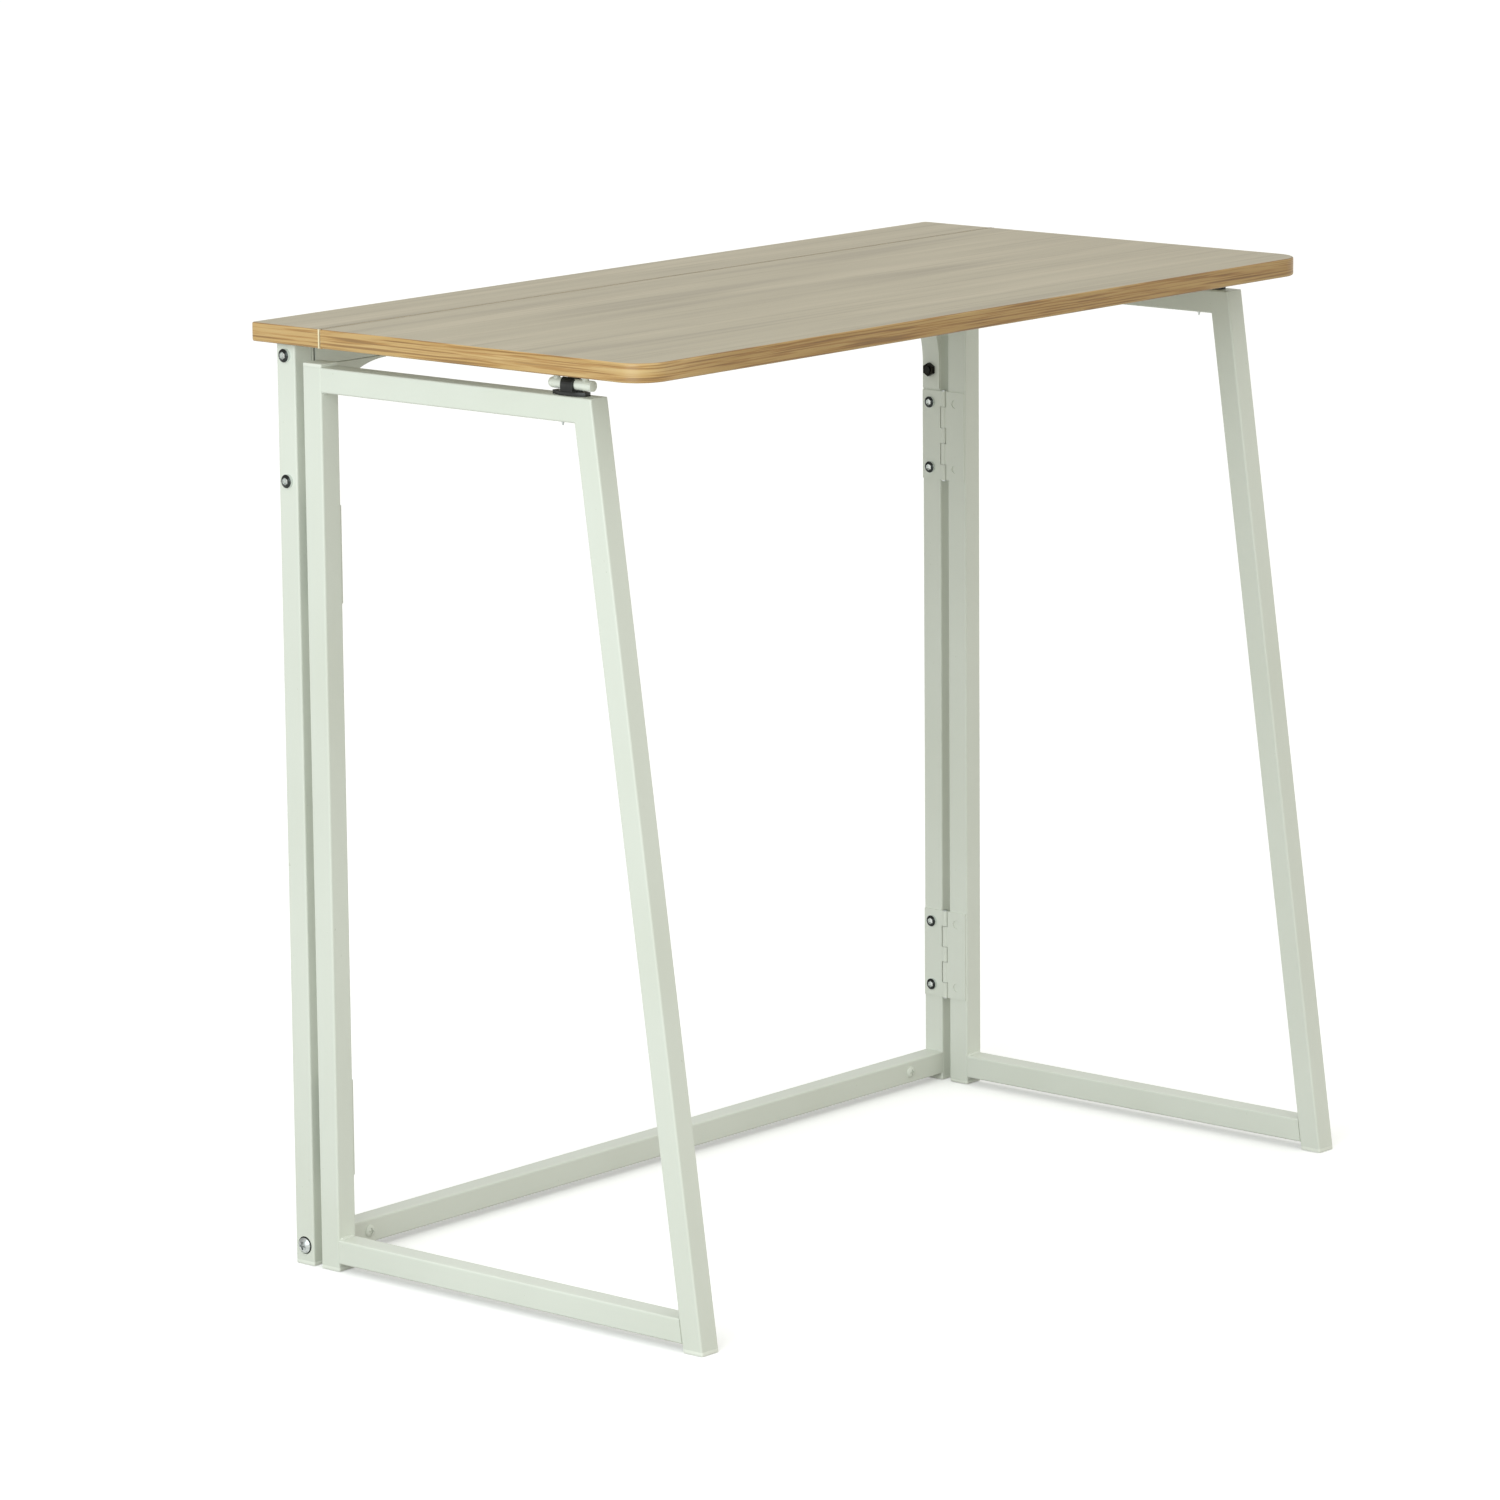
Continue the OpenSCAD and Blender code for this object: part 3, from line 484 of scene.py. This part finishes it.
# Bolt ends past the nut get plain black instead of the painted reflection.
painted_reflection_with_black_ends = add(
    tree, "ShaderNodeMix", {FACTOR: shank_end, UNDER: linear("#232421"), OVER: painted_reflection}, **MIX
)
tree.links.new(painted_reflection_with_black_ends.outputs[RESULT], shader.inputs["Base Color"])

black_zinc, tree, shader = start_material("black_zinc_nut", "#1c1b18", 0.30, metallic=1.0)
mottle = streaks(tree, add(tree, "ShaderNodeTexCoord").outputs["Object"], (3, 3, 3))
paint = add(
    tree,
    "ShaderNodeValToRGB",
    {"Fac": mottle},
    stops=[(0.3, "#141310"), (0.7, "#26251f")],
).outputs["Color"]
tree.links.new(paint, shader.inputs["Base Color"])
print("made", zinc.name, black_nickel.name, "and", black_zinc.name)

# %% [markdown]
# ## Dress the parts
#
# Every part already knows which finish it should have: its material slot. One table joins the
# slots to the materials above, and a loop assigns them.

# %% Assign the finishes
finishes = {
    "laminate_board": laminate,
    "oak_band": edge_oak,
    "seam_tape": tape,
    "white_powder_coat": powder_coat,
    "white_plastic": white_plastic,
    "black_nylon": black_nylon,
    "dark_nickel": black_nickel,
    "zinc_plate": zinc,
    "white_screw": powder_coat,
}
slot_of = {row["node"]: row["material_slot"] for row in frame["record"]["subparts"]}
body_of = {}
for body, members in frame["record"]["behaviour"]["bodies"].items():
    body_of.update({member: body for member in members})

for name, node in nodes.items():
    node.data.materials.clear()
    node.data.materials.append(finishes[slot_of[name]])
nodes["bracket_nuts"].data.materials[0] = black_zinc
nodes["leaf_seam_tape"].data.materials[0] = seam_oak

print({slot: sum(s == slot for s in slot_of.values()) for slot in finishes})

# %% [markdown]
# ## Rounded edges on moulded and pressed parts
#
# A moulded foot or cap has no knife edges, and a powder coat rounds the rim of a pressed
# bracket. A modelled edge catches a thin highlight that no texture can. The part is copied, its
# triangles are merged back into clean faces, and its sharp edges are bevelled. The copy then
# stands in for the part and rides on the same body.


# %% Soften the edges of a part
SAME_POINT = 0.01 * MM
SAME_BEVEL_POINT = 0.002 * MM
FLAT_DEGREES, SHARP_DEGREES = 1, 35


def softened(node_name, radius_mm, segments=3):
    """A copy of a part with its sharp edges rounded to radius_mm."""
    source = nodes[node_name]
    mesh = source.data.copy()
    piece = bpy.data.objects.new(f"{node_name}_soft", mesh)
    bpy.context.scene.collection.objects.link(piece)
    shape = bmesh.new()
    shape.from_mesh(mesh)
    bmesh.ops.remove_doubles(shape, verts=shape.verts, dist=SAME_POINT)
    bmesh.ops.dissolve_limit(
        shape, angle_limit=math.radians(FLAT_DEGREES), verts=shape.verts, edges=shape.edges
    )
    sharp = [
        edge
        for edge in shape.edges
        if len(edge.link_faces) == 2 and edge.calc_face_angle() > math.radians(SHARP_DEGREES)
    ]
    bmesh.ops.bevel(
        shape,
        geom=sharp,
        offset=radius_mm * MM,
        segments=segments,
        profile=0.5,
        affect="EDGES",
        clamp_overlap=True,
        loop_slide=True,
    )
    bmesh.ops.remove_doubles(shape, verts=shape.verts, dist=SAME_BEVEL_POINT)
    shape.to_mesh(mesh)
    shape.free()
    mesh.shade_smooth()
    smooth_by_angle(piece)
    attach(piece, body_of[node_name])
    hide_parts(node_name)
    return piece


def smooth_by_angle(piece, degrees=32):
    """Smooth shading, with a crease wherever two faces meet at more than this angle."""
    shape = bmesh.new()
    shape.from_mesh(piece.data)
    for edge in shape.edges:
        crease = len(edge.link_faces) != 2 or edge.calc_face_angle() > math.radians(degrees)
        edge.smooth = not crease
    for face in shape.faces:
        face.smooth = True
    shape.to_mesh(piece.data)
    shape.free()


soft_parts = {
    "stile_foot": 1.3,
    "leg_foot": 1.3,
    "stile_cap": 1.0,
    "clip": 0.3,
    "striker": 0.5,
    "corner_bracket": 0.4,
}
for part, radius in soft_parts.items():
    made = [softened(f"{side}_{part}", radius) for side in ("left", "right")]
    print(part, [len(piece.data.polygons) for piece in made], "faces")

for side in ("left", "right"):
    softened(f"{side}_post_foot", soft_parts["stile_foot"])

# %% [markdown]
# ## Weld beads
#
# The gates are welded from cut tube. In each inner corner runs a small MIG bead: a fillet 1.6 mm
# wide with the overlapping scales that the moving torch leaves, softened by the paint. The beads
# under the bottom rails are smaller, and on the flat sides the seams are ground flush, so none
# is made there. A bead is a quarter-round section swept along a line, and its radius rises and
# falls with each scale.

# %% Sweep a bead along a corner
BEAD_RADIUS = 1.6 * MM
UNDERSIDE_SHARE = 0.8
SCALE_PITCH = 2.1 * MM
STEPS_PER_SCALE = 7
LOWEST_SWELL, SCALE_SWELL = 0.88, 0.14
START_SHARE, END_RISE = 0.45, 6
ROOT_DEPTH = 0.3
ARC_STEPS = 6


def weld_bead(name, body, start, end, normal_a, normal_b, radius=BEAD_RADIUS):
    """A quarter-round bead in the corner between two faces with these normals."""
    run = Vector(end) - Vector(start)
    steps = max(12, int(run.length / (SCALE_PITCH / STEPS_PER_SCALE)))
    shape = bmesh.new()
    rings = []
    for step in range(steps + 1):
        share = step / steps
        phase = (share * run.length / SCALE_PITCH) % 1
        swell = LOWEST_SWELL + SCALE_SWELL * math.sin(math.pi * phase)
        ends = min(1.0, END_RISE * min(share, 1 - share) + START_SHARE)
        middle = Vector(start) + share * run
        ring = [shape.verts.new(middle - ROOT_DEPTH * radius * (normal_a + normal_b))]
        for i in range(ARC_STEPS + 1):
            turn = math.pi / 2 * i / ARC_STEPS
            reach = radius * swell * ends
            point = middle + reach * (math.cos(turn) * normal_a + math.sin(turn) * normal_b)
            ring.append(shape.verts.new(point))
        rings.append(ring)
    count = len(rings[0])
    for one, two in zip(rings, rings[1:]):
        for i in range(count):
            j = (i + 1) % count
            shape.faces.new((one[i], one[j], two[j], two[i]))
    shape.faces.new(rings[0])
    shape.faces.new(rings[-1])
    bmesh.ops.recalc_face_normals(shape, faces=shape.faces)
    mesh = bpy.data.meshes.new(name)
    shape.to_mesh(mesh)
    shape.free()
    bead = bpy.data.objects.new(name, mesh)
    bpy.context.scene.collection.objects.link(bead)
    mesh.materials.append(powder_coat)
    smooth_by_angle(bead, degrees=60)
    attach(bead, body)
    return bead


# %% Weld the inner corners of both gates
UP, DOWN, FRONT = Vector((0, 0, 1)), Vector((0, 0, -1)), Vector((0, -1, 0))
LEG_BACK = Vector((0, math.cos(lean), -math.sin(lean)))
END_INSET = 1.8 * MM
corners = {
    "top_rail_to_stile": (stile_front, rail_low.z, DOWN, FRONT),
    "bottom_rail_to_stile": (stile_front, bottom_high.z, UP, FRONT),
    "bottom_rail_to_leg": (leg_back(bottom_high.z), bottom_high.z, UP, LEG_BACK),
    "top_rail_to_leg": (leg_back(rail_low.z), rail_low.z, DOWN, LEG_BACK),
    "underside_to_stile": (stile_front, bottom_low.z, DOWN, FRONT),
    "underside_to_leg": (leg_back(bottom_low.z), bottom_low.z, DOWN, LEG_BACK),
}
for side, sign in (("left", -1), ("right", 1)):
    for corner, (y, z, normal_a, normal_b) in corners.items():
        radius = BEAD_RADIUS * (UNDERSIDE_SHARE if "underside" in corner else 1.0)
        start = (sign * (stile_low.x + END_INSET), y, z)
        end = (sign * (stile_high.x - END_INSET), y, z)
        weld_bead(f"{side}_bead_{corner}", f"{side}_gate", start, end, normal_a, normal_b, radius)

print(len(corners) * 2, "beads")

# %% [markdown]
# ## Floor and light
#
# A plain studio: a pale floor without an edge, a dim sky that is warmer and brighter in front,
# and one large softbox close by on the left. Because the softbox is near, the left gate gets
# clearly more light than the right one. A real white floor would throw too much light up under
# the top, so the pale floor only shows itself, and a grey card at the same height, which only
# takes part in the bounce, does that work.

# %% Lay the floor
FLOOR_SIZE = 30.0


def floor_plane(name, colour, drop_mm, glow=0.0):
    """A level sheet just below the feet."""
    height = cad_box[0].z - drop_mm * MM
    bpy.ops.mesh.primitive_plane_add(size=FLOOR_SIZE, location=(0, 0, height))
    sheet = bpy.context.active_object
    sheet.name = name
    paint, tree, shader = start_material(name, colour, 0.9)
    shader.inputs["Specular IOR Level"].default_value = 0.1
    shader.inputs["Emission Color"].default_value = linear("#ffffff")
    shader.inputs["Emission Strength"].default_value = glow
    sheet.data.materials.append(paint)
    return sheet


pale_floor = floor_plane("pale_studio_floor", "#f4f4f4", drop_mm=0.4, glow=0.27)
pale_floor.visible_diffuse = False
bounce_card = floor_plane("grey_bounce_card", "#c0bfb8", drop_mm=0.8)
bounce_card.visible_camera = False
bounce_card.visible_glossy = False
print("floor", FLOOR_SIZE, "m across")

# %% Light the sky
FRONT_SIDE = Vector((0.25, -0.97, 0.0)).normalized()
world = bpy.data.worlds.new("soft_studio")
bpy.context.scene.world = world
world.use_nodes = True
tree = world.node_tree
tree.nodes.clear()
direction = add(tree, "ShaderNodeTexCoord").outputs["Generated"]
towards = add(tree, "ShaderNodeVectorMath", {0: direction, 1: FRONT_SIDE}, operation="DOT_PRODUCT")
side_share = add(
    tree,
    "ShaderNodeMapRange",
    {"Value": towards.outputs["Value"], "From Min": -0.6, "From Max": 0.9},
    interpolation_type="SMOOTHSTEP",
)
sky_colour = add(
    tree,
    "ShaderNodeValToRGB",
    {"Fac": side_share.outputs["Result"]},
    stops=[(0.0, "#c4c5c3"), (1.0, "#dfdfd9")],
).outputs["Color"]
height = add(tree, "ShaderNodeSeparateXYZ", {"Vector": direction}).outputs["Z"]
strength = add(tree, "ShaderNodeMapRange", {"Value": height, "To Min": 1.0, "To Max": 1.6})
sky = add(
    tree, "ShaderNodeBackground", {"Color": sky_colour, "Strength": strength.outputs["Result"]}
)
add(tree, "ShaderNodeOutputWorld", {"Surface": sky.outputs["Background"]})
print("sky is brightest towards", [round(v, 2) for v in FRONT_SIDE])


# %% Hang the softbox
def softbox(name, place, target, size, power, colour):
    """A square area light that looks at a point."""
    data = bpy.data.lights.new(name, "AREA")
    data.shape = "SQUARE"
    data.size = size
    data.energy = power
    data.color = linear(colour)[:3]
    lamp = bpy.data.objects.new(name, data)
    bpy.context.scene.collection.objects.link(lamp)
    lamp.location = place
    aim = Vector(target) - Vector(place)
    lamp.rotation_euler = aim.to_track_quat("-Z", "Y").to_euler()
    return lamp


centre = (cad_box[0] + cad_box[1]) / 2
softbox("left_softbox", (-2.6, -0.7, 1.3), centre, size=1.8, power=40, colour="#f3fdff")
print("softbox hung")

# %% [markdown]
# ## The camera
#
# A long lens from a little above the top's height, turned 49 degrees to the table's left. The
# camera is set from the point that it looks at, its angles and its distance, and is then slid
# a few centimetres sideways and rolled by half a degree, as a hand-held tripod head would be.

# %% Set the camera
AZIMUTH, ELEVATION, ROLL = (math.radians(v) for v in (-49.112, 11.138, -0.507))
LENS_MM, SENSOR_MM = 163.74, 36
DISTANCE = 5.3528
SLIDE_RIGHT, SLIDE_UP = -0.0589, -0.0027
AIM = Vector((0, -0.0075, 0.370))

back = Vector(
    (
        math.sin(AZIMUTH) * math.cos(ELEVATION),
        -math.cos(AZIMUTH) * math.cos(ELEVATION),
        math.sin(ELEVATION),
    )
)
level_right = (-back).cross(Vector((0, 0, 1))).normalized()
level_up = level_right.cross(-back)
right = math.cos(ROLL) * level_right + math.sin(ROLL) * level_up
up = -math.sin(ROLL) * level_right + math.cos(ROLL) * level_up

camera_data = bpy.data.cameras.new("camera")
camera_data.lens = LENS_MM
camera_data.sensor_width = SENSOR_MM
camera_data.clip_end = 100
camera = bpy.data.objects.new("camera", camera_data)
bpy.context.scene.collection.objects.link(camera)
camera.rotation_mode = "QUATERNION"
camera.location = AIM + DISTANCE * back + SLIDE_RIGHT * right + SLIDE_UP * up
camera.rotation_quaternion = Matrix((right, up, back)).transposed().to_quaternion()
bpy.context.scene.camera = camera
bpy.context.scene.view_settings.view_transform = "Standard"
print("camera at", [round(v, 3) for v in camera.location])
